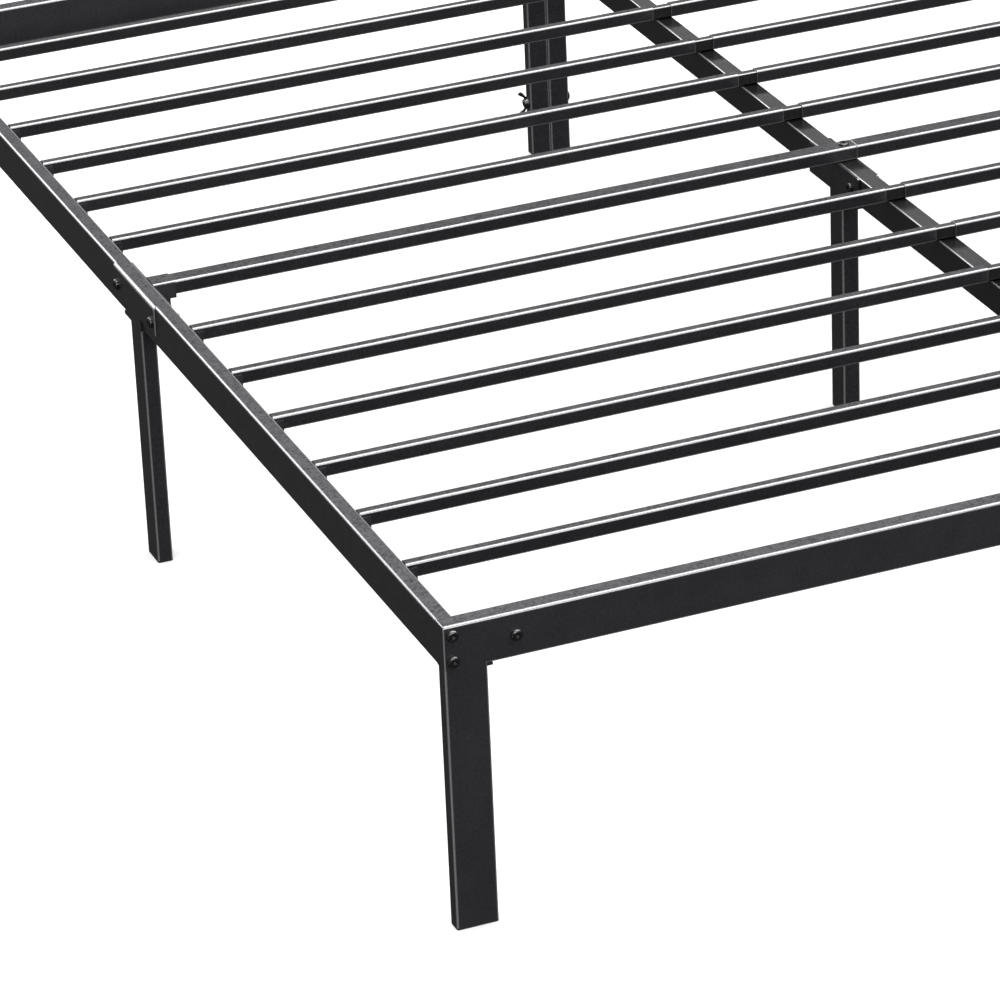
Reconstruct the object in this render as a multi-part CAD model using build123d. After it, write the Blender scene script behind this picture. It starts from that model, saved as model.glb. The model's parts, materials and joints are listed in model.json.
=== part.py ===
from build123d import *
import os

os.makedirs("parts", exist_ok=True)

# ---------------------------------------------------------------- dimensions
# Millimetres. X runs across the bed (left is -X), Y from foot (-) to head (+),
# Z up from the floor. The frame is centred on X = 0 and Y = 0.

width = 1930.0            # over the outer faces of the side rails
length = 2032.0           # over the outer faces of the foot and head rails
top_z = 375.0             # level of every rail, crossbar and slat top

rail_h = 54.5             # height of end rails and side rails
end_rail_d = 24.0         # front to back of the foot and head rails
side_rail_d = 20.0        # thickness of the side rails
rail_wall = 1.5
rail_r = 3.5              # outer corner radius of the rail tubes

slat_d = 14.5             # front to back of a slat
slat_h = 18.6
slat_wall = 1.2
slat_r = 3.2
slat_pitch = 140.2
slat_first = 151.5        # slat next to the middle crossbar, from Y = 0
slats_per_half = 6
slat_left_end = -17.0     # cut end of a left slat half
slat_right_end = 10.0     # shoulder of a right slat half
slat_neck_in = 40.0       # neck length hidden inside the left half
slat_fit = 0.15           # gap all round between neck and tube

crossbar_d = 26.0
crossbar_h = 18.6
crossbar_seam = 13.0

beam_w = 25.0
beam_h = 40.0
beam_wall = 1.5
beam_r = 2.2
beam_seam = -30.0         # where the two beam halves meet

corner_leg_w, corner_leg_d = 50.0, 20.0
end_leg_w, end_leg_d = 30.5, 18.5
mid_leg_t, mid_leg_w = 20.0, 40.0
centre_leg_w, centre_leg_d = 24.0, 38.0
leg_wall = 1.5
leg_r = 3.0
leg_plate = 3.0           # plate closing the top of a leg
mid_leg_plate = 4.5       # the same on the middle legs
mid_leg_reach = 50.0      # how far that plate runs under the head half of the side rail
glide_rim = 2.5           # visible thickness of a foot cap
glide_plug = 16.0

plate_t = 2.5             # sheet used for the splice plates
side_plate_half = 77.0    # half length of a side splice plate
side_plate_h = 41.0
plate_roll = 5.5          # rounding along the top of a side splice plate
side_bolt_y = 64.5
side_bolt_drop = 24.5     # bolt axis below the rail top
cradle_half = 72.0
cradle_bolt_y = 50.0

bolt_d = 8.0
bolt_hole = 8.4
head_d = 14.0
head_h = 4.5
low_head_h = 2.9          # low head on the one bolt that lies under the mattress
bolt_len = 36.5
long_bolt_len = 40.0
nut_af = 13.0
nut_h = 6.5
corner_bolt_x = 10.5      # in from the outer face of the side rail
corner_bolt_spread = 15.4
tab_bolt_x = 84.0         # third bolt, in from the outer face
beam_bolt_x = 24.0

carriage_z = 81.0         # height of the carriage bolts that pair the middle end legs
wing_bore = 8.1           # running bore over the 8 mm carriage bolt
end_cap_rim = 2.4
end_cap_round = 1.9       # rounding round the visible face of an end cap
burr = 0.8                # rounding on the cut ends of slats

# ---------------------------------------------------------------- derived
hx = width / 2
hy = length / 2
rail_bot = top_z - rail_h
rail_mid = top_z - rail_h / 2
inner_x = hx - side_rail_d
inner_y = hy - end_rail_d
slat_bot = top_z - slat_h
beam_top = slat_bot
beam_bot = beam_top - beam_h
gap = 0.25                # half gap where two halves of a rail meet


# ---------------------------------------------------------------- helpers
def box(x0, x1, y0, y1, z0, z1):
    return Pos((x0 + x1) / 2, (y0 + y1) / 2, (z0 + z1) / 2) * Box(x1 - x0, y1 - y0, z1 - z0)


def bar(axis, a0, a1, c1, c2, w1, w2, r):
    """Solid rounded bar along axis X, Y or Z. c1, c2 and w1, w2 are the centre and
    width on the other two axes in X, Y, Z order."""
    sk = RectangleRounded(w1, w2, r)
    if axis == "X":
        pl = Plane(origin=(a0, c1, c2), x_dir=(0, 1, 0), z_dir=(1, 0, 0))
    elif axis == "Y":
        pl = Plane(origin=(c1, a0, c2), x_dir=(1, 0, 0), z_dir=(0, 1, 0))
    else:
        pl = Plane(origin=(c1, c2, a0), x_dir=(1, 0, 0), z_dir=(0, 0, 1))
    return extrude(pl * sk, amount=a1 - a0)


def tube(axis, a0, a1, c1, c2, w1, w2, r, t):
    return bar(axis, a0, a1, c1, c2, w1, w2, r) - bar(
        axis, a0 - 1, a1 + 1, c1, c2, w1 - 2 * t, w2 - 2 * t, max(r - t, 0.4)
    )


def rod(axis, a0, a1, c1, c2, d):
    """Round rod along an axis; c1, c2 are the centre on the other two axes."""
    if axis == "X":
        pl = Plane(origin=(a0, c1, c2), x_dir=(0, 1, 0), z_dir=(1, 0, 0))
    elif axis == "Y":
        pl = Plane(origin=(c1, a0, c2), x_dir=(1, 0, 0), z_dir=(0, 1, 0))
    else:
        pl = Plane(origin=(c1, c2, a0), x_dir=(1, 0, 0), z_dir=(0, 0, 1))
    return extrude(pl * Circle(d / 2), amount=a1 - a0)


def place(shape, at, direction):
    """Moves a fastener built along +Z (head above Z = 0, shank below) so that its
    head points along the direction given."""
    d = Vector(*direction)
    side = (0, 0, 1) if abs(d.Z) < 0.5 else (1, 0, 0)
    return Plane(origin=at, x_dir=side, z_dir=direction) * shape


def button_bolt(shank, high=head_h, round_over=3.0):
    head = Cylinder(head_d / 2, high, align=(Align.CENTER, Align.CENTER, Align.MIN))
    head = fillet(head.edges().sort_by(Axis.Z)[-1], round_over)
    b = head + Pos(0, 0, -shank) * Cylinder(
        bolt_d / 2, shank, align=(Align.CENTER, Align.CENTER, Align.MIN)
    )
    b = chamfer(b.edges().sort_by(Axis.Z)[0], 0.8)
    socket = extrude(Plane.XY.offset(high - 2.8) * RegularPolygon(2.9, 6), amount=5)
    return b - socket


def hex_nut():
    """Nut seated on Z = 0 and standing up to nut_h."""
    n = extrude(RegularPolygon(nut_af / 2 / 0.8660254, 6), amount=nut_h)
    cone = Cone(8.6, 6.2, 2.4, align=(Align.CENTER, Align.CENTER, Align.MIN))
    n = n & (Cylinder(9, nut_h - 1.6, align=(Align.CENTER, Align.CENTER, Align.MIN))
             + Pos(0, 0, nut_h - 1.6) * cone)
    return n - Cylinder(bolt_hole / 2, 40)


def flip(shape, plane):
    return mirror(shape, about=plane)


def save(shape, name):
    export_step(shape, "parts/" + name + ".step")


def group(shapes, name):
    save(Compound(children=list(shapes)), name)


def solid(shape):
    s = shape.solids()
    assert len(s) == 1, len(s)
    return s[0]


def rounded_tube(axis, a0, a1, c1, c2, w1, w2, r, t, at_start, at_end):
    """Tube whose outer edge is rounded at one or both cut ends."""
    b = bar(axis, a0, a1, c1, c2, w1, w2, r)
    if at_start > 0:
        b = fillet(b.faces().sort_by(Axis.X)[0].edges(), at_start)
    if at_end > 0:
        b = fillet(b.faces().sort_by(Axis.X)[-1].edges(), at_end)
    return b - bar(axis, a0 - 1, a1 + 1, c1, c2, w1 - 2 * t, w2 - 2 * t, max(r - t, 0.4))


# ---------------------------------------------------------------- end rails
# Tube across the bed, drilled for the two corner bolts, the tab bolt and the
# bolt that holds the end plate of the centre beam. Built as the foot left half.
yc = -hy + end_rail_d / 2
rail = tube("X", -hx + end_cap_rim, -gap, yc, rail_mid, end_rail_d, rail_h, rail_r, rail_wall)
for x, z in (
    (-hx + corner_bolt_x, rail_mid + corner_bolt_spread),
    (-hx + corner_bolt_x, rail_mid - corner_bolt_spread),
    (-hx + tab_bolt_x, rail_mid),
    (-beam_bolt_x, rail_mid),
):
    rail -= rod("Y", -hy - 5, -hy + end_rail_d + 5, x, z, bolt_hole)
rail = solid(rail)
save(rail, "foot_rail_left")
save(flip(rail, Plane.YZ), "foot_rail_right")
save(flip(rail, Plane.XZ), "head_rail_left")
save(flip(flip(rail, Plane.XZ), Plane.YZ), "head_rail_right")

# Cap closing the open outer end of each end rail: a rounded rim flush with the
# tube and a hollow plug inside it.
flat_cap = bar("X", -hx, -hx + end_cap_rim, yc, rail_mid, end_rail_d, rail_h, rail_r)
cap = fillet(flat_cap.faces().sort_by(Axis.X)[0].edges(), end_cap_round)
# square along the edge that meets the side rail, so that the two lie flush
cap += flat_cap & box(-hx - 1, 0, -inner_y - rail_r, -inner_y + 1, rail_bot + rail_r, top_z - rail_r)
end_outline = solid(bar("X", -hx + end_cap_rim, 20, yc, rail_mid, end_rail_d, rail_h, rail_r) + cap)
plug_w, plug_h = end_rail_d - 2 * rail_wall - 0.4, rail_h - 2 * rail_wall - 0.4
cap += tube("X", -hx + end_cap_rim - 0.2, -hx + 5.5, yc, rail_mid, plug_w, plug_h, rail_r - rail_wall, 1.6)
cap = solid(cap)
caps = [cap, flip(cap, Plane.YZ), flip(cap, Plane.XZ), flip(flip(cap, Plane.XZ), Plane.YZ)]
group(caps, "end_rail_caps")

# ---------------------------------------------------------------- corner legs
leg_top = rail_bot - leg_plate
lx, ly = -hx + corner_leg_w / 2, -hy + corner_leg_d / 2
leg = tube("Z", glide_rim, leg_top, lx, ly, corner_leg_w, corner_leg_d, leg_r, leg_wall)
leg += bar("Z", leg_top, rail_bot, lx, ly, corner_leg_w, corner_leg_d, leg_r)
leg += box(-hx + 12, -hx + corner_leg_w + 6, -hy + 0.4, -hy + corner_leg_d, leg_top, rail_bot)
# lip that follows the rounded underside of the rail and brings the joint flush
leg += bar("Z", rail_bot - 0.5, rail_bot + rail_r, lx, ly, corner_leg_w, corner_leg_d, leg_r) - end_outline
leg = solid(leg)
save(leg, "corner_leg_foot_left")
save(flip(leg, Plane.YZ), "corner_leg_foot_right")
save(flip(leg, Plane.XZ), "corner_leg_head_left")
save(flip(flip(leg, Plane.XZ), Plane.YZ), "corner_leg_head_right")


def glide(cx, cy, w, d):
    g = bar("Z", 0, glide_rim, cx, cy, w, d, leg_r)
    g = fillet(g.faces().sort_by(Axis.Z)[0].edges(), 0.8)
    g += tube("Z", glide_rim - 0.2, glide_plug, cx, cy, w - 2 * leg_wall - 0.4,
              d - 2 * leg_wall - 0.4, leg_r - leg_wall, 1.6)
    return solid(g)


g = glide(lx, ly, corner_leg_w, corner_leg_d)
glides = [g, flip(g, Plane.YZ), flip(g, Plane.XZ), flip(flip(g, Plane.XZ), Plane.YZ)]

# ---------------------------------------------------------------- paired middle end legs
ex = -gap - end_leg_w / 2
ey = -hy + end_leg_d / 2
eleg = tube("Z", glide_rim, rail_bot, ex, ey, end_leg_w, end_leg_d, leg_r, leg_wall)
eleg -= rod("X", -60, 20, ey, carriage_z, bolt_hole)
eleg = solid(eleg)
# the right hand leg takes the square neck of the carriage bolt in its outer wall
eleg_r = flip(eleg, Plane.YZ) - box(gap + end_leg_w - 3, gap + end_leg_w + 3,
                                    ey - 4.4, ey + 4.4, carriage_z - 4.4, carriage_z + 4.4)
eleg_r = solid(eleg_r)
save(eleg, "end_leg_foot_left")
save(eleg_r, "end_leg_foot_right")
save(flip(eleg, Plane.XZ), "end_leg_head_left")
save(flip(eleg_r, Plane.XZ), "end_leg_head_right")
g = glide(ex, ey, end_leg_w, end_leg_d)
glides += [g, flip(g, Plane.YZ), flip(g, Plane.XZ), flip(flip(g, Plane.XZ), Plane.YZ)]

# Carriage bolt: domed head on the right leg, square neck, plain shank out through
# both legs to the wing nut on the left.
face_r = gap + end_leg_w
face_l = -face_r


def carriage(y):
    dome = Sphere(11.6) & Pos(0, 0, 11.6 - 2.2) * Box(40, 40, 4.4)
    dome = Pos(0, 0, -(11.6 - 4.4)) * dome
    dome = Plane(origin=(face_r, y, carriage_z), x_dir=(0, 0, 1), z_dir=(1, 0, 0)) * dome
    neck = box(face_r - 1.4, face_r + 0.5, y - 4.1, y + 4.1, carriage_z - 4.1, carriage_z + 4.1)
    shank = rod("X", face_l - 7.6, face_r, y, carriage_z, bolt_d)
    shank = chamfer(shank.edges().sort_by(Axis.X)[0], 0.8)
    return solid(dome + neck + shank)


cb = carriage(ey)
group([cb, flip(cb, Plane.XZ)], "carriage_bolts")

# Wing nut: hub on the bolt with two thin wings that stand away from the leg.
nut_seat = face_l - 0.15
hub_outline = make_face(Plane.XZ * Polyline(
    (wing_bore / 2, 0), (7.0, 0), (7.0, 1.8), (5.7, 7.0), (wing_bore / 2, 7.0), close=True))
hub = revolve(hub_outline, axis=Axis.Z)
wing_outline = make_face(Plane.XZ * Polyline(
    (4.6, 0.8), (7.2, 0.8), (11.6, 4.6), (16.0, 8.2), (18.0, 10.8), (18.2, 13.4),
    (16.8, 15.4), (14.4, 15.4), (12.8, 13.4), (10.6, 9.4), (7.8, 6.4), (4.6, 5.8), close=True))
wing = extrude(wing_outline, amount=1.25, both=True)
wing = chamfer(wing.faces().sort_by(Axis.Y)[0].edges() + wing.faces().sort_by(Axis.Y)[-1].edges(), 0.45)
nut = hub + wing + flip(wing, Plane.YZ)
nut = nut - Cylinder(wing_bore / 2, 60)
nut = solid(nut)


def wing_nut(y):
    # wings up and down, standing off toward -X
    return Plane(origin=(nut_seat, y, carriage_z), x_dir=(0, 0, 1), z_dir=(-1, 0, 0)) * nut


save(wing_nut(ey), "wing_nut_foot")
save(wing_nut(-ey), "wing_nut_head")

# ---------------------------------------------------------------- side rails
slat_ys = [slat_first + i * slat_pitch for i in range(slats_per_half)]
sx = -hx + side_rail_d / 2
# The tube's end is coped to lie against the rounded back of the end rail.
srail = tube("Y", -inner_y - rail_r, -gap, sx, rail_mid, side_rail_d, rail_h, rail_r, rail_wall)
srail -= bar("X", -hx - 5, 20, yc, rail_mid, end_rail_d, rail_h, rail_r)
# threaded end plate inside the tube
srail += box(-hx + rail_wall, -inner_x - rail_wall, -inner_y, -inner_y + 4,
             rail_bot + rail_wall, top_z - rail_wall)
for s in (1, -1):
    srail -= rod("Y", -inner_y - 5, -inner_y + 9, -hx + corner_bolt_x,
                 rail_mid + s * corner_bolt_spread, bolt_hole)
# splice bolt hole
srail -= rod("X", -hx - 5, -inner_x + 5, -side_bolt_y, top_z - side_bolt_drop, bolt_hole)
srail = solid(srail)
save(srail, "side_rail_left_foot")
save(flip(srail, Plane.YZ), "side_rail_right_foot")
# the head half is the same with a joining sleeve that slides into the foot half
hrail = flip(srail, Plane.XZ)
ins_w, ins_h = side_rail_d - 2 * rail_wall - 0.5, rail_h - 2 * rail_wall - 0.5
sleeve = tube("Y", -95, 20, sx, rail_mid, ins_w, ins_h, rail_r - rail_wall, 1.5)
sleeve -= rod("X", -hx - 5, -inner_x + 5, -side_bolt_y, top_z - side_bolt_drop, bolt_hole)
# weld ring that fixes the sleeve in the head half
ring = bar("Y", 14, 20, sx, rail_mid, side_rail_d - 1, rail_h - 1, rail_r - 0.5) - bar(
    "Y", 13, 21, sx, rail_mid, ins_w - 1, ins_h - 1, 0.6)
hrail = solid(hrail + ring + sleeve)
save(hrail, "side_rail_left_head")
save(flip(hrail, Plane.YZ), "side_rail_right_head")

# Folded bracket in each corner: one flange on the side rail, one on the end rail.
tab_t = 2.5
tab = box(-inner_x, -inner_x + tab_t, -inner_y, -inner_y + 55, rail_bot + 6, top_z - 8)
tab += box(-inner_x, -hx + tab_bolt_x + 18, -inner_y, -inner_y + tab_t, rail_bot + 6, top_z - 8)
tab = fillet(tab.edges().filter_by(Axis.Z).sort_by(lambda e: (e.center() - Vector(-inner_x, -inner_y, 0)).X
                                                   + (e.center() - Vector(-inner_x, -inner_y, 0)).Y)[0], 1.2)
tab -= rod("Y", -inner_y - 5, -inner_y + 9, -hx + tab_bolt_x, rail_mid, bolt_hole)
tab = solid(tab)
group([tab, flip(tab, Plane.YZ), flip(tab, Plane.XZ), flip(flip(tab, Plane.XZ), Plane.YZ)],
      "corner_brackets")

# Open socket that holds the end of each slat.
socket_l, socket_w, socket_t = 12.0, slat_d + 0.8, 1.5
sock = box(-inner_x, -inner_x + socket_l, -socket_w / 2 - socket_t, socket_w / 2 + socket_t,
           slat_bot - socket_t, top_z - 5.2)
sock -= box(-inner_x - 1, -inner_x + socket_l + 1, -socket_w / 2, socket_w / 2, slat_bot, top_z)
sock = solid(sock)
sockets = []
for y in [-v for v in slat_ys] + slat_ys:
    one = Pos(0, y, 0) * sock
    sockets += [one, flip(one, Plane.YZ)]
group(sockets, "slat_sockets")

# ---------------------------------------------------------------- middle legs at the side rails
mx = -hx - plate_t + mid_leg_t / 2
mid_top = rail_bot - mid_leg_plate
mleg = tube("Z", glide_rim, mid_top, mx, 0, mid_leg_t, mid_leg_w, leg_r, leg_wall)
mleg += bar("Z", mid_top, rail_bot, mx, 0, mid_leg_t, mid_leg_w, leg_r)
mleg += box(-hx, -inner_x, 0, mid_leg_reach, mid_top, rail_bot)
tee = bar("X", -hx - plate_t, -hx, 0, top_z - side_plate_h / 2, 2 * side_plate_half, side_plate_h, 4.0)
tee = fillet(tee.faces().sort_by(Axis.X)[0].edges(), 2.2)
# The top edge rolls over the rounded corner of the rail and dies out on its top face.
lead = bar("Y", -300, 300, -hx - plate_t + 15, top_z - 60, 30, 120, plate_roll)
rail_outline = bar("Y", -300, 300, sx, rail_mid, side_rail_d, rail_h, rail_r)
roll = box(-hx - plate_t, -hx + plate_roll, -side_plate_half + 2, side_plate_half - 2, top_z - 12, top_z)
tee = (tee + roll) & lead
tee = tee - rail_outline
tee += box(-hx - plate_t, -hx, -mid_leg_w / 2, mid_leg_w / 2, rail_bot - 1.0, top_z - side_plate_h + 5)
for s in (1, -1):
    tee -= rod("X", -hx - 9, -hx + 5, s * side_bolt_y, top_z - side_bolt_drop, bolt_hole)
mleg = solid(mleg + tee)
save(mleg, "middle_leg_left")
save(flip(mleg, Plane.YZ), "middle_leg_right")

# ---------------------------------------------------------------- crossbar brackets
# Plate inside the side rail across the splice, carrying a saddle for the crossbar
# and two cheeks below it that take a pinch bolt.
saddle_in = crossbar_d + 0.6
saddle_l = 28.0
cheek_l = 20.0
cheek_drop = 46.0
br = bar("X", -inner_x, -inner_x + plate_t, 0, top_z - 4 - (side_plate_h - 4) / 2,
         2 * side_plate_half, side_plate_h - 4, 3.0)
br -= box(-inner_x - 1, -inner_x + plate_t + 1, -saddle_in / 2, saddle_in / 2, slat_bot, top_z)
br += box(-inner_x, -inner_x + plate_t, -saddle_in / 2 - plate_t, saddle_in / 2 + plate_t,
          top_z - cheek_drop, top_z - side_plate_h + 5)
br += box(-inner_x, -inner_x + saddle_l, -saddle_in / 2 - plate_t, saddle_in / 2 + plate_t,
          slat_bot - plate_t, slat_bot)
for s in (1, -1):
    yw = s * (saddle_in / 2 + plate_t / 2)
    br += box(-inner_x, -inner_x + saddle_l, yw - plate_t / 2, yw + plate_t / 2,
              slat_bot - 0.5, top_z - 1.0)
    br += box(-inner_x, -inner_x + cheek_l, yw - plate_t / 2, yw + plate_t / 2,
              top_z - cheek_drop, slat_bot)
    br -= rod("X", -inner_x - 5, -inner_x + 9, s * side_bolt_y, top_z - side_bolt_drop, bolt_hole)
pinch_x, pinch_z = -inner_x + 11.0, top_z - 33.0
br -= rod("Y", -40, 40, pinch_x, pinch_z, bolt_hole)
br = solid(br)
save(br, "crossbar_bracket_left")
save(flip(br, Plane.YZ), "crossbar_bracket_right")

# ---------------------------------------------------------------- crossbar
zc = top_z - crossbar_h / 2
x_end = -inner_x
cb_l = rounded_tube("X", x_end, crossbar_seam, 0, zc, crossbar_d, crossbar_h, slat_r, 1.5, 0, 0.3)
neck_w, neck_h = crossbar_d - 3.4, crossbar_h - 3.4
cb_l += bar("X", crossbar_seam - 1.5, crossbar_seam, 0, zc, crossbar_d - 1, crossbar_h - 1, 1.2) - bar(
    "X", crossbar_seam - 3, crossbar_seam + 3, 0, zc, neck_w - 3, neck_h - 3, 0.6)
cb_l += tube("X", crossbar_seam - 1.2, crossbar_seam + 70, 0, zc, neck_w, neck_h, slat_r - 1.5, 1.5)
cb_l -= rod("Z", slat_bot - 5, top_z + 5, 0, 0, bolt_hole)
cb_l = solid(cb_l)
save(cb_l, "crossbar_left")
cb_r = rounded_tube("X", crossbar_seam + 0.5, -x_end, 0, zc, crossbar_d, crossbar_h, slat_r, 1.5, 0.3, 0)
save(solid(cb_r), "crossbar_right")

# ---------------------------------------------------------------- slats
zc = top_z - slat_h / 2
n_w, n_h = slat_d - 2 * slat_wall - 2 * slat_fit, slat_h - 2 * slat_wall - 2 * slat_fit
slat_end = inner_x
sl_l = rounded_tube("X", -slat_end, slat_left_end, 0, zc, slat_d, slat_h, slat_r, slat_wall, 0, burr)
sl_r = rounded_tube("X", slat_right_end, slat_end, 0, zc, slat_d, slat_h, slat_r, slat_wall, 0.3, 0)
sl_r += bar("X", slat_right_end, slat_right_end + 1.2, 0, zc, slat_d - 1.8, slat_h - 1.8, 1.6) - bar(
    "X", slat_right_end - 3, slat_right_end + 3, 0, zc, n_w - 2.4, n_h - 2.4, 0.5)
sl_r += tube("X", slat_left_end - slat_neck_in, slat_right_end + 1.0, 0, zc, n_w, n_h, slat_r - slat_wall, slat_wall)
sl_l, sl_r = solid(sl_l), solid(sl_r)
rows = sorted([-y for y in slat_ys] + slat_ys)
for i, y in enumerate(rows):
    save(Pos(0, y, 0) * sl_l, "slat_%02d_left" % (i + 1))
    save(Pos(0, y, 0) * sl_r, "slat_%02d_right" % (i + 1))

# ---------------------------------------------------------------- centre beam
bz = (beam_top + beam_bot) / 2
beam_end = inner_y - 3.0
bf = tube("Y", -beam_end, beam_seam - gap, 0, bz, beam_w, beam_h, beam_r, beam_wall)
bh = tube("Y", beam_seam + gap, beam_end, 0, bz, beam_w, beam_h, beam_r, beam_wall)
bi_w, bi_h = beam_w - 2 * beam_wall - 0.5, beam_h - 2 * beam_wall - 0.5
sleeve = tube("Y", -118, beam_seam + 20, 0, bz, bi_w, bi_h, 0.9, 1.5)
ring = bar("Y", beam_seam + 14, beam_seam + 20, 0, bz, beam_w - 1, beam_h - 1, beam_r - 0.5) - bar(
    "Y", beam_seam + 13, beam_seam + 21, 0, bz, bi_w - 1, bi_h - 1, 0.6)
bh = bh + ring + sleeve
for y in (-cradle_bolt_y, cradle_bolt_y):
    bf -= rod("X", -30, 30, y, bz, bolt_hole)
    bh -= rod("X", -30, 30, y, bz, bolt_hole)
bh -= rod("Z", beam_top - 9.5, beam_top + 9, 0, 0, bolt_hole)
save(solid(bf), "centre_beam_foot")
save(solid(bh), "centre_beam_head")

# Plate on each end of the beam, bolted to both halves of an end rail.
plate_w, plate_h = 76.0, 44.0
pl = bar("Y", -inner_y, -beam_end, 0, rail_mid, plate_w, plate_h, 4.0)
for sgn in (1, -1):
    pl -= rod("Y", -inner_y - 9, -inner_y + 9, sgn * beam_bolt_x, rail_mid, bolt_hole)
pl = solid(pl)
group([pl, flip(pl, Plane.XZ)], "beam_end_plates")

# ---------------------------------------------------------------- centre leg
# Leg under the beam splice with a folded cradle whose cheeks are bolted through.
cleg_top = beam_bot - plate_t
cl = tube("Z", glide_rim, cleg_top, 0, 0, centre_leg_w, centre_leg_d, leg_r, leg_wall)
cl += box(-beam_w / 2 - plate_t, beam_w / 2 + plate_t, -cradle_half, cradle_half, cleg_top, beam_bot)
for s in (1, -1):
    xc = s * (beam_w / 2 + plate_t / 2)
    ck = bar("X", xc - plate_t / 2, xc + plate_t / 2, 0, (cleg_top + beam_top - 0.6) / 2,
             2 * cradle_half, beam_top - 0.6 - cleg_top, 2.0)
    for y in (-cradle_bolt_y, cradle_bolt_y):
        ck -= rod("X", xc - 9, xc + 9, y, bz, bolt_hole)
    cl += ck
save(solid(cl), "centre_leg")

g1 = glide(mx, 0, mid_leg_t, mid_leg_w)
g3 = glide(0, 0, centre_leg_w, centre_leg_d)
glides += [g1, flip(g1, Plane.YZ), g3]
group(glides, "leg_glides")

# ---------------------------------------------------------------- fasteners
bolt = button_bolt(bolt_len)
long_bolt = button_bolt(long_bolt_len)
nut0 = hex_nut()
end_bolts, nuts = [], []
for sy in (-1, 1):
    for sgn in (-1, 1):
        bx = sgn * (hx - corner_bolt_x)
        for dz in (corner_bolt_spread, -corner_bolt_spread):
            end_bolts.append(place(bolt, (bx, sy * hy, rail_mid + dz), (0, sy, 0)))
            nuts.append(place(nut0, (bx, sy * (inner_y - 4), rail_mid + dz), (0, -sy, 0)))
        bx = sgn * (hx - tab_bolt_x)
        end_bolts.append(place(bolt, (bx, sy * hy, rail_mid), (0, sy, 0)))
        nuts.append(place(nut0, (bx, sy * (inner_y - tab_t), rail_mid), (0, -sy, 0)))
        bx = sgn * beam_bolt_x
        end_bolts.append(place(bolt, (bx, sy * hy, rail_mid), (0, sy, 0)))
        nuts.append(place(nut0, (bx, sy * (inner_y - 3), rail_mid), (0, -sy, 0)))
for sgn in (-1, 1):
    for y in (-side_bolt_y, side_bolt_y):
        z = top_z - side_bolt_drop
        end_bolts.append(place(bolt, (sgn * (hx + plate_t), y, z), (sgn, 0, 0)))
        nuts.append(place(nut0, (sgn * (inner_x - plate_t), y, z), (-sgn, 0, 0)))
group(end_bolts, "frame_bolts")

inner_bolts = []
cx = beam_w / 2 + plate_t
for y in (-cradle_bolt_y, cradle_bolt_y):
    inner_bolts.append(place(long_bolt, (-cx, y, bz), (-1, 0, 0)))
    nuts.append(place(nut0, (cx, y, bz), (1, 0, 0)))
inner_bolts.append(place(button_bolt(31.0, low_head_h, 1.8), (0, 0, top_z), (0, 0, 1)))
nuts.append(place(nut0, (0, 0, beam_top - beam_wall), (0, 0, -1)))
yo = saddle_in / 2 + plate_t
for sgn in (-1, 1):
    inner_bolts.append(place(button_bolt(42.0), (sgn * -pinch_x, -yo, pinch_z), (0, -1, 0)))
    nuts.append(place(nut0, (sgn * -pinch_x, yo, pinch_z), (0, 1, 0)))
group(inner_bolts, "beam_and_crossbar_bolts")
group(nuts, "frame_nuts")
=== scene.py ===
import bpy, bmesh, json, math
from mathutils import Vector, Matrix


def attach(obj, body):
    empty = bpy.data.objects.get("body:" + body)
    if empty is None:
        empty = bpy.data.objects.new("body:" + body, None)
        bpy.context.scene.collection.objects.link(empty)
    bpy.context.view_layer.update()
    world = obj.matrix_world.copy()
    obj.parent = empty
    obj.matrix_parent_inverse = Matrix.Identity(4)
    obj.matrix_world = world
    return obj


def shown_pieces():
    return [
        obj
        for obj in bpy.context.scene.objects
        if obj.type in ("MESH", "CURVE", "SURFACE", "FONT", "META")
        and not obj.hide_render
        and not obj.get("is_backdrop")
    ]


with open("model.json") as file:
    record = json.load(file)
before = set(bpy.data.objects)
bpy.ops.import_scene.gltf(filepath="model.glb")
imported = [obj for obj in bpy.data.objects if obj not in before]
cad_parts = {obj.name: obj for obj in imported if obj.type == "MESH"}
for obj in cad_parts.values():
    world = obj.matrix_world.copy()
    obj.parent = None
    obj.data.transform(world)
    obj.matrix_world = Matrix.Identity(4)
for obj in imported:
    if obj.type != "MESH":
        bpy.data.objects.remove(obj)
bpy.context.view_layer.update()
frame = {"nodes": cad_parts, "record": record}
nodes = frame["nodes"]
scene = bpy.context.scene
MM = 0.001


# ---------------------------------------------------------------- camera
def look(heading, pitch, roll, at, lens):
    ch, sh = math.cos(heading), math.sin(heading)
    cp, sp = math.cos(pitch), math.sin(pitch)
    fwd = Vector((sh * cp, ch * cp, -sp))
    right = Vector((ch, -sh, 0.0))
    up = right.cross(fwd)
    cr, sr = math.cos(roll), math.sin(roll)
    r2 = cr * right + sr * up
    u2 = -sr * right + cr * up
    cam = bpy.data.objects.new("camera", bpy.data.cameras.new("camera"))
    scene.collection.objects.link(cam)
    m = Matrix((
        (r2.x, u2.x, -fwd.x, at[0]),
        (r2.y, u2.y, -fwd.y, at[1]),
        (r2.z, u2.z, -fwd.z, at[2]),
        (0, 0, 0, 1)))
    cam.matrix_world = m
    cam.data.sensor_width = 36.0
    cam.data.lens = lens
    cam.data.clip_start, cam.data.clip_end = 0.05, 100.0
    scene.camera = cam
    return cam


look(math.radians(21.352), math.radians(26.171), math.radians(-2.473), (-2.684, -5.597, 2.928), 186.7)

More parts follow.
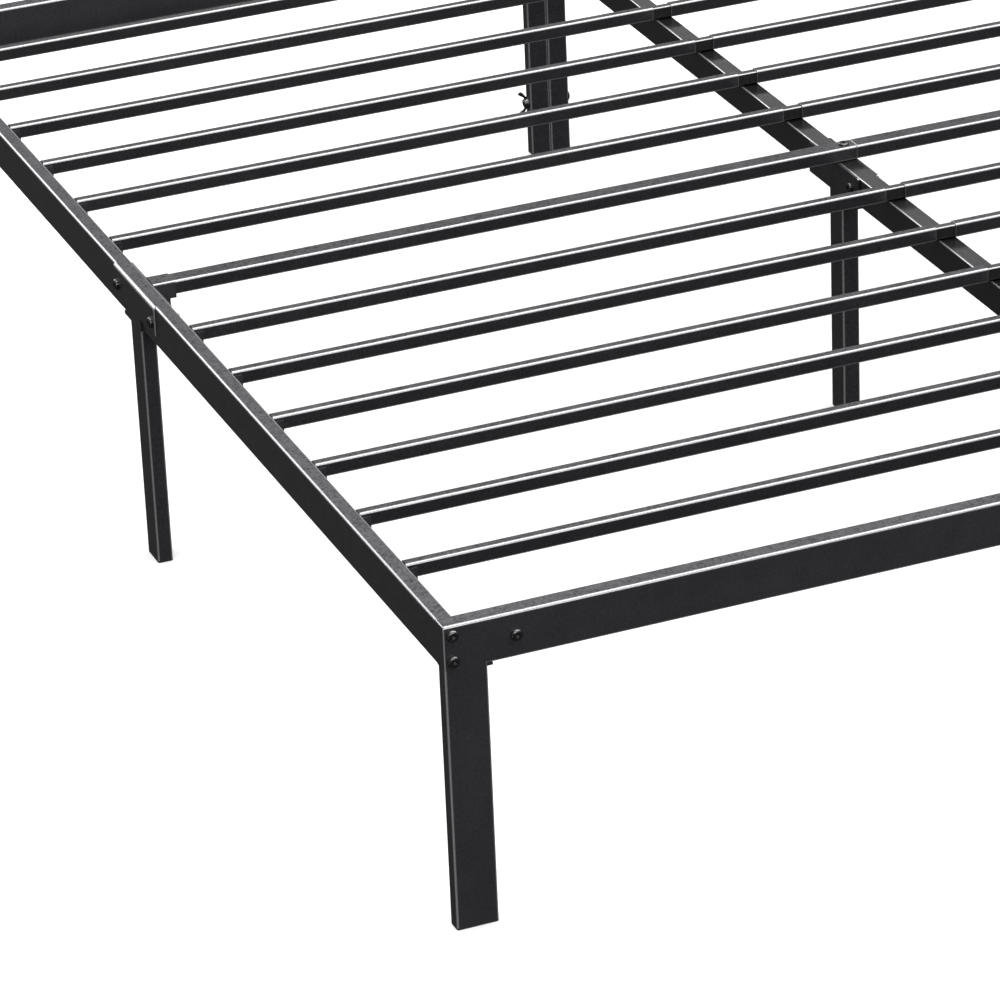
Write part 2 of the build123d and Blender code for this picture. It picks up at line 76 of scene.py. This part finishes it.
# ---------------------------------------------------------------- materials
class Graph:
    """Short helper round a node tree."""

    def __init__(self, name):
        self.mat = bpy.data.materials.new(name)
        self.mat.use_nodes = True
        self.nt = self.mat.node_tree
        self.nt.nodes.clear()
        self.out = self.nt.nodes.new("ShaderNodeOutputMaterial")
        self.bsdf = self.nt.nodes.new("ShaderNodeBsdfPrincipled")
        self.nt.links.new(self.bsdf.outputs["BSDF"], self.out.inputs["Surface"])
        self.coord = self.nt.nodes.new("ShaderNodeTexCoord")

    def link(self, a, b):
        self.nt.links.new(a, b)

    def math(self, op, a, b=None, clamp=False):
        n = self.nt.nodes.new("ShaderNodeMath")
        n.operation = op
        n.use_clamp = clamp
        for i, v in enumerate((a, b)):
            if v is None:
                continue
            if isinstance(v, (int, float)):
                n.inputs[i].default_value = v
            else:
                self.link(v, n.inputs[i])
        return n.outputs[0]

    def noise(self, scale, detail=2.0, rough=0.5, offset=(0, 0, 0), stretch=(1, 1, 1)):
        mp = self.nt.nodes.new("ShaderNodeMapping")
        mp.inputs["Location"].default_value = offset
        mp.inputs["Scale"].default_value = stretch
        self.link(self.coord.outputs["Object"], mp.inputs["Vector"])
        n = self.nt.nodes.new("ShaderNodeTexNoise")
        n.inputs["Scale"].default_value = scale
        n.inputs["Detail"].default_value = detail
        n.inputs["Roughness"].default_value = rough
        self.link(mp.outputs["Vector"], n.inputs["Vector"])
        return n.outputs["Fac"]

    def remap(self, v, a, b, c, d):
        n = self.nt.nodes.new("ShaderNodeMapRange")
        n.clamp = True
        self.link(v, n.inputs["Value"])
        for k, x in zip(("From Min", "From Max", "To Min", "To Max"), (a, b, c, d)):
            n.inputs[k].default_value = x
        return n.outputs["Result"]

    def mix(self, fac, a, b):
        n = self.nt.nodes.new("ShaderNodeMix")
        n.data_type = "RGBA"
        self.link(fac, n.inputs[0])
        for i, c in ((6, a), (7, b)):
            if isinstance(c, tuple):
                n.inputs[i].default_value = (*c, 1.0)
            else:
                self.link(c, n.inputs[i])
        return n.outputs[2]

    def edge(self, lo=0.008, hi=0.09):
        """1 on the rounded corners of square tube, 0 on its flats, from the object's own normals."""
        sep = self.nt.nodes.new("ShaderNodeSeparateXYZ")
        self.link(self.coord.outputs["Normal"], sep.inputs[0])
        a = [self.math("ABSOLUTE", sep.outputs[i]) for i in range(3)]
        m = self.math("MAXIMUM", self.math("MAXIMUM", a[0], a[1]), a[2])
        return self.remap(self.math("SUBTRACT", 1.0, m), lo, hi, 0.0, 1.0)

    def axis(self, i):
        sep = self.nt.nodes.new("ShaderNodeSeparateXYZ")
        self.link(self.coord.outputs["Object"], sep.inputs[0])
        return sep.outputs[i]

    def band(self, i, lo, hi):
        """1 where the object coordinate i lies between lo and hi."""
        v = self.axis(i)
        return self.math("MULTIPLY", self.math("GREATER_THAN", v, lo), self.math("LESS_THAN", v, hi))

    def bump(self, layers):
        last = None
        for height, strength, distance in layers:
            b = self.nt.nodes.new("ShaderNodeBump")
            b.inputs["Strength"].default_value = strength
            b.inputs["Distance"].default_value = distance
            self.link(height, b.inputs["Height"])
            if last is not None:
                self.link(last, b.inputs["Normal"])
            last = b.outputs["Normal"]
        self.link(last, self.bsdf.inputs["Normal"])


def powder_coat(name, base, lit, rough=0.34, rough_edge=0.26, grain=1.0, seed=0.0, gloss=0.0, joints=False, painted_contact_shade=False):
    """Fine-textured satin black powder coat: grainy, uneven gloss, orange peel and faint
    mottle on the flats; a painted highlight on the tube corners, where the colour is lighter, part metallic and
    glossier."""
    g = Graph(name)
    edge = g.edge()
    grit = g.noise(250.0, 4.0, 0.72, (seed, 1.3, 0.0))
    fine = g.noise(620.0, 3.0, 0.65, (0.0, seed, 2.0))
    speck = g.noise(1500.0, 1.0, 0.5, (seed, seed, 0.7))
    peel = g.noise(430.0, 2.0, 0.5, (3.0, 0.0, seed))
    mottle = g.noise(34.0, 4.0, 0.6, (seed, 3.1, 0.0))
    broad = g.noise(7.0, 3.0, 0.5, (seed, 0.0, 5.0))
    scuff = g.noise(26.0, 6.0, 0.75, (2.0, seed, 1.0), (1.0, 1.0, 2.2))

    tone = g.math("ADD", g.remap(mottle, 0.3, 0.7, 0.15, 0.5), g.remap(fine, 0.4, 0.7, 0.0, 0.35))
    c1 = g.mix(tone, base, lit)
    # painted highlight: the rounded corners get a lighter colour so they shine as bright lines along the tubes
    c2 = g.mix(edge, c1, (0.13, 0.13, 0.134))

    spec = g.math("ADD", g.remap(grit, 0.36, 0.64, 0.06, 0.84), g.remap(mottle, 0.3, 0.7, -0.06, 0.20))
    spec = g.math("ADD", spec, g.remap(scuff, 0.60, 0.72, 0.0, -0.16))
    # the grain shows most where the coat settled on upward faces
    sep = g.nt.nodes.new("ShaderNodeSeparateXYZ")
    g.link(g.coord.outputs["Normal"], sep.inputs[0])
    settle = g.remap(g.math("ABSOLUTE", sep.outputs[2]), 0.2, 0.8, 0.35, 1.0)
    spec = g.math("ADD", g.math("MULTIPLY", g.math("SUBTRACT", spec, 0.45), settle), 0.45 + gloss)
    # painted highlight on the corners continues: extra specular, lower roughness and some metallic there
    spec = g.math("MAXIMUM", spec, g.math("MULTIPLY", edge, 0.95))
    r = g.remap(fine, 0.25, 0.75, rough - 0.05, rough + 0.07)
    r = g.math("ADD", r, g.remap(broad, 0.3, 0.7, -0.03, 0.04))
    r = g.math("SUBTRACT", r, g.math("MULTIPLY", edge, rough - rough_edge))
    metal = g.math("MULTIPLY", edge, 0.36)

    if joints:
        side = g.math("GREATER_THAN", g.math("ABSOLUTE", g.axis(1)), 0.03)
        # painted shade: the tube neck between the halves of a slat is made duller and darker on its sides, standing in
        # for the shade in that recess
        up = g.nt.nodes.new("ShaderNodeSeparateXYZ")
        g.link(g.coord.outputs["Normal"], up.inputs[0])
        flank = g.math("LESS_THAN", up.outputs[2], 0.35)
        neck_shade = g.math("MULTIPLY", g.math("MULTIPLY", side, flank), g.band(0, -0.0166, 0.0097))
        keep = g.math("SUBTRACT", 1.0, g.math("MULTIPLY", neck_shade, 0.7))
        spec = g.math("MULTIPLY", spec, keep)
        metal = g.math("MULTIPLY", metal, keep)
        r = g.math("ADD", r, g.math("MULTIPLY", neck_shade, 0.2))
        c2 = g.mix(g.math("MULTIPLY", neck_shade, 0.75), c2, (0.0024, 0.0024, 0.0026))
        # painted highlight: a lighter band on top of the crossbar joint, where the seam edge catches the light
        seam_highlight_mask = g.math("MULTIPLY", g.math("MULTIPLY", g.math("SUBTRACT", 1.0, side), g.math("SUBTRACT", 1.0, flank)),
                     g.band(0, 0.0128, 0.0150))
        c2 = g.mix(g.math("MULTIPLY", seam_highlight_mask, 0.7), c2, (0.16, 0.16, 0.165))
    if painted_contact_shade:
        # painted shade: darker colour and less gloss where another piece stands close, taken from ambient occlusion, so
        # the beam top goes black beside the slats
        ao = g.nt.nodes.new("ShaderNodeAmbientOcclusion")
        ao.inputs["Distance"].default_value = 0.045
        shade = g.remap(ao.outputs["AO"], 0.35, 0.98, 0.0, 1.0)
        c2 = g.mix(shade, (0.0012, 0.0012, 0.0013), c2)
        spec = g.math("MULTIPLY", spec, shade)
        metal = g.math("MULTIPLY", metal, shade)
    g.link(c2, g.bsdf.inputs["Base Color"])
    g.link(metal, g.bsdf.inputs["Metallic"])
    g.link(g.math("MAXIMUM", spec, 0.0, clamp=True), g.bsdf.inputs["Specular IOR Level"])
    g.link(g.math("MAXIMUM", r, 0.05, clamp=True), g.bsdf.inputs["Roughness"])
    g.bump([(peel, 0.30 * grain, 0.00010), (speck, 0.25 * grain, 0.00003), (broad, 0.2, 0.00015)])
    return g.mat


def oxide(name, base, lit, rough=0.2, seed=0.0):
    """Black oxide and oil on steel: near black with a tight gloss, rubbed brighter in places."""
    g = Graph(name)
    wear = g.noise(210.0, 5.0, 0.6, (seed, 0, 0))
    fine = g.noise(1400.0, 2.0, 0.5, (0, seed, 0))
    c = g.mix(g.remap(wear, 0.5, 0.75, 0.0, 1.0), base, lit)
    g.link(c, g.bsdf.inputs["Base Color"])
    g.link(g.remap(wear, 0.3, 0.7, rough + 0.06, rough - 0.05), g.bsdf.inputs["Roughness"])
    g.link(g.remap(wear, 0.3, 0.7, 0.45, 0.75), g.bsdf.inputs["Specular IOR Level"])
    g.bump([(fine, 0.2, 0.00003), (wear, 0.2, 0.0001)])
    return g.mat


def weld(name, seed=0.0):
    """Painted-over weld metal: rounded, glossier on the crests of its ripples."""
    g = Graph(name)
    lump = g.noise(300.0, 3.0, 0.6, (seed, 0, 0))
    fine = g.noise(1600.0, 2.0, 0.5, (0, seed, 0))
    g.link(g.mix(g.remap(lump, 0.3, 0.7, 0.0, 1.0), (0.007, 0.007, 0.0075), (0.016, 0.016, 0.017)),
           g.bsdf.inputs["Base Color"])
    g.link(g.remap(fine, 0.3, 0.7, 0.26, 0.40), g.bsdf.inputs["Roughness"])
    g.link(g.remap(lump, 0.3, 0.7, 0.4, 0.8), g.bsdf.inputs["Specular IOR Level"])
    g.bump([(lump, 0.4, 0.0002), (fine, 0.2, 0.00004)])
    return g.mat


def plastic(name, base, lit, seed=0.0):
    """Moulded black polyethylene with a fine spark-eroded texture."""
    g = Graph(name)
    grain = g.noise(2200.0, 2.0, 0.5, (seed, 0, 0))
    scuff = g.noise(90.0, 4.0, 0.7, (0, seed, 0), (1, 1, 0.25))
    c = g.mix(g.remap(scuff, 0.55, 0.8, 0.0, 1.0), base, lit)
    g.link(c, g.bsdf.inputs["Base Color"])
    g.link(g.remap(grain, 0.3, 0.7, 0.5, 0.66), g.bsdf.inputs["Roughness"])
    g.bump([(grain, 0.4, 0.00005)])
    g.bsdf.inputs["Specular IOR Level"].default_value = 0.4
    return g.mat


coat_lo, coat_hi = (0.0082, 0.0082, 0.0095), (0.0118, 0.0118, 0.0134)
mats = {
    "rail_steel": powder_coat("coat_rails", coat_lo, coat_hi, seed=1.7),
    "slat_steel": powder_coat("coat_slats", (0.0042, 0.0042, 0.0049), (0.0072, 0.0072, 0.0082), seed=4.1, joints=True),
    "leg_steel": powder_coat("coat_legs", coat_lo, coat_hi, seed=7.9),
    "bracket_steel": powder_coat("coat_brackets", coat_lo, coat_hi, rough=0.36, seed=11.3),
    "black_plastic": plastic("black_polyethylene", (0.0075, 0.0075, 0.008), (0.015, 0.015, 0.016), seed=2.2),
    "bolt_steel": oxide("black_oxide_bolts", (0.0035, 0.0035, 0.0037), (0.009, 0.009, 0.0095), 0.16, seed=3.3),
    "nut_steel": oxide("black_oxide_nuts", (0.007, 0.007, 0.0073), (0.016, 0.016, 0.017), 0.26, seed=5.1),
    "wing_nut_steel": oxide("black_oxide_wing_nuts", (0.007, 0.007, 0.0073), (0.015, 0.015, 0.016), 0.24, seed=6.4),
}
weld_mat = weld("coated_weld", 9.2)
# painted shade: the beam's coat is a far darker copy of the rails' coat, standing in for the shade under the slats,
# with a tighter gloss
beam_coat_painted_shade = powder_coat("coat_beam", (0.0014, 0.0014, 0.0016), (0.0034, 0.0034, 0.0038), rough=0.16, rough_edge=0.16,
                       seed=14.6, gloss=0.32, painted_contact_shade=True)
slot_of = {s["node"]: s["material_slot"] for s in frame["record"]["subparts"]}
for n, o in nodes.items():
    for i in range(len(o.material_slots)):
        o.material_slots[i].link = "OBJECT"
        o.material_slots[i].material = beam_coat_painted_shade if n.startswith("centre_beam") else mats[slot_of[n]]

# folded and stamped sheet has rolled-over edges rather than knife edges
SHEET = ("corner_brackets", "slat_sockets", "crossbar_bracket_left", "crossbar_bracket_right",
         "beam_end_plates")
CAST = ("wing_nut_foot", "wing_nut_head", "leg_glides")
for n in SHEET + CAST:
    m = nodes[n].modifiers.new("rolled_edges", "BEVEL")
    m.width = 0.00045 if n in SHEET else 0.0004
    m.segments = 2
    m.limit_method = "ANGLE"
    m.angle_limit = math.radians(38)
    m.use_clamp_overlap = True
    m.harden_normals = False

# ---------------------------------------------------------------- weld beads
HX, HY, TOP, RAIL_BOT = 965.0, 1016.0, 375.0, 320.5
INNER_X, INNER_Y, SLAT_BOT = 945.0, 992.0, 356.4


def bead_mesh(bm, pts, r, step=1.1, ripple=0.16, sides=8):
    """One closed, rippled bead along a polyline in millimetres."""
    pts = [Vector(p) for p in pts]
    run, out = 0.0, []
    for a, b in zip(pts, pts[1:]):
        n = max(1, int(round((b - a).length / step)))
        for k in range(n):
            out.append((a.lerp(b, k / n), run + (b - a).length * k / n))
        run += (b - a).length
    out.append((pts[-1], run))
    rings, ref = [], None
    for i, (p, t) in enumerate(out):
        tan = (out[min(i + 1, len(out) - 1)][0] - out[max(i - 1, 0)][0]).normalized()
        if ref is None:
            ref = tan.orthogonal().normalized()
        ref = (ref - tan * ref.dot(tan)).normalized()
        w = tan.cross(ref)
        end = min(1.0, 0.45 + min(t, run - t) / (1.6 * r))
        rr = r * end * (1.0 + ripple * math.sin(t * 2.6) + 0.06 * math.sin(t * 0.9 + p.x * 0.37 + p.y * 0.21))
        rings.append([bm.verts.new((p + rr * (math.cos(q) * ref + math.sin(q) * w)) * MM)
                      for q in (2 * math.pi * k / sides for k in range(sides))])
    for a, b in zip(rings, rings[1:]):
        for k in range(sides):
            bm.faces.new((a[k], a[(k + 1) % sides], b[(k + 1) % sides], b[k]))
    bm.faces.new(list(reversed(rings[0])))
    bm.faces.new(rings[-1])


def beads(name, paths, r):
    bm = bmesh.new()
    for p in paths:
        bead_mesh(bm, p, r)
    bmesh.ops.recalc_face_normals(bm, faces=bm.faces[:])
    for f in bm.faces:
        f.smooth = True
    me = bpy.data.meshes.new(name)
    bm.to_mesh(me)
    bm.free()
    o = bpy.data.objects.new(name, me)
    scene.collection.objects.link(o)
    me.materials.append(weld_mat)
    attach(o, "frame")
    return o


def four(path):
    """The same bead in all four corners of the frame."""
    return [[(sx * x, sy * y, z) for x, y, z in path] for sx in (1, -1) for sy in (1, -1)]


def two_x(path):
    return [[(s * x, y, z) for x, y, z in path] for s in (1, -1)]


def two_y(path):
    return [[(x, s * y, z) for x, y, z in path] for s in (1, -1)]


# leg plates under the end rails: along the back and the inner end
beads("weld_corner_legs", four([(-HX + 22, -INNER_Y - 3.6, RAIL_BOT - 0.2), (-HX + 48, -INNER_Y - 3.6, RAIL_BOT - 0.2)])
      + four([(-HX + 56, -HY + 5, RAIL_BOT + 0.1), (-HX + 56, -HY + 17, RAIL_BOT + 0.1)]), 1.5)
beads("weld_end_legs", four([(-4, -HY + 18.6, RAIL_BOT + 0.1), (-28, -HY + 18.6, RAIL_BOT + 0.1)]), 1.4)
slat_ys = [151.5 + 140.2 * i for i in range(6)]
rows = [-y for y in slat_ys] + slat_ys
beads("weld_slat_sockets", sum((two_x([(-INNER_X, y + s * 9.2, 367.0), (-INNER_X, y + s * 9.2, 356.0)])
                                for y in rows for s in (1, -1)), []), 1.15)
beads("weld_middle_legs", two_x([(-HX + 0.3, -20.2, RAIL_BOT - 4.4), (-HX + 0.3, -20.2, RAIL_BOT - 0.4)])
      + two_x([(-INNER_X - 1.5, 22, RAIL_BOT - 4.6), (-INNER_X - 1.5, -15, RAIL_BOT - 4.6)][:1]
              + [(-INNER_X - 1.5, 44, RAIL_BOT - 4.6)]), 1.2)
beads("weld_crossbar_brackets", two_x([(-INNER_X + 2.5, 15.9, 370.0), (-INNER_X + 2.5, 15.9, 333.0)])
      + two_x([(-INNER_X + 2.5, -15.9, 370.0), (-INNER_X + 2.5, -15.9, 333.0)]), 1.1)

# ---------------------------------------------------------------- stage
def plane(name, w, d, at):
    bm = bmesh.new()
    vs = [bm.verts.new((x * w / 2, y * d / 2, 0)) for x, y in ((-1, -1), (1, -1), (1, 1), (-1, 1))]
    bm.faces.new(vs)
    me = bpy.data.meshes.new(name)
    bm.to_mesh(me)
    bm.free()
    o = bpy.data.objects.new(name, me)
    o.location = at
    scene.collection.objects.link(o)
    return o


floor = plane("floor", 60, 60, (0, 0, 0))
gf = Graph("pale_floor")
gf.link(gf.mix(gf.remap(gf.noise(2.0, 3.0), 0.3, 0.7, 0.0, 1.0), (0.90, 0.90, 0.90), (0.93, 0.93, 0.93)),
        gf.bsdf.inputs["Base Color"])
gf.bsdf.inputs["Roughness"].default_value = 0.95
gf.bsdf.inputs["Specular IOR Level"].default_value = 0.1
floor.data.materials.append(gf.mat)
floor.visible_glossy = False
floor.visible_diffuse = False
floor.visible_shadow = False
floor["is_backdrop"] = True

world = bpy.data.worlds.new("studio")
scene.world = world
world.use_nodes = True
wt = world.node_tree
wt.nodes.clear()
wo = wt.nodes.new("ShaderNodeOutputWorld")
wb = wt.nodes.new("ShaderNodeBackground")
wc = wt.nodes.new("ShaderNodeTexCoord")
ws = wt.nodes.new("ShaderNodeSeparateXYZ")
wr = wt.nodes.new("ShaderNodeValToRGB")
wm = wt.nodes.new("ShaderNodeMapRange")
wm.inputs["From Min"].default_value = -1
wm.inputs["From Max"].default_value = 1
wt.links.new(wc.outputs["Generated"], ws.inputs[0])
wt.links.new(ws.outputs["Z"], wm.inputs["Value"])
wt.links.new(wm.outputs["Result"], wr.inputs["Fac"])
wt.links.new(wr.outputs["Color"], wb.inputs["Color"])
wt.links.new(wb.outputs["Background"], wo.inputs["Surface"])
els = wr.color_ramp.elements
els[0].position, els[0].color = 0.0, (0.07, 0.07, 0.073, 1)
els[1].position, els[1].color = 1.0, (0.8, 0.8, 0.8, 1)
for p, v in ((0.47, 0.09), (0.53, 0.40), (0.62, 0.55), (0.75, 0.68)):
    e = els.new(p)
    e.color = (v, v, v * 1.01, 1)
wb.inputs["Strength"].default_value = 1.0

lit = bpy.data.collections.new("lit_by_softboxes")


def softbox(name, at, aim, w, h, radiance, only=None):
    d = bpy.data.lights.new(name, "AREA")
    d.shape = "RECTANGLE"
    d.size, d.size_y = w, h
    d.energy = radiance * math.pi * w * h
    o = bpy.data.objects.new(name, d)
    scene.collection.objects.link(o)
    o.location = at
    o.rotation_mode = "QUATERNION"
    o.rotation_quaternion = (Vector(aim) - Vector(at)).to_track_quat("-Z", "Y")
    o.visible_camera = False
    if only is not None:
        o.light_linking.receiver_collection = only
    return o


softbox("softbox_over", (2.1, -0.6, 5.6), (1.6, -0.4, 0.37), 7.0, 10.0, 9.0, lit)
softbox("softbox_back_left", (-3.2, 6.2, 3.2), (-0.9, 0, 0.37), 4.0, 3.0, 8.0, lit)
softbox("card_front_left", (-4.4, -2.2, -1.4), (-0.9, -0.6, 0.2), 2.2, 2.2, 0.8, lit)
softbox("softbox_front", (-1.0, -7.5, 3.3), (-0.2, -0.6, 0.3), 7.0, 2.6, 11.0, lit)
only_floor = bpy.data.collections.new("floor_only")
only_floor.objects.link(floor)
softbox("floor_wash", (0.0, 0.0, 10.0), (0, 0, 0), 60.0, 60.0, 1.15, only_floor)

scene.view_settings.view_transform = "Standard"
scene.view_settings.look = "None"
scene.view_settings.exposure = 0.0
scene.view_settings.gamma = 1.0

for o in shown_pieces():
    lit.objects.link(o)
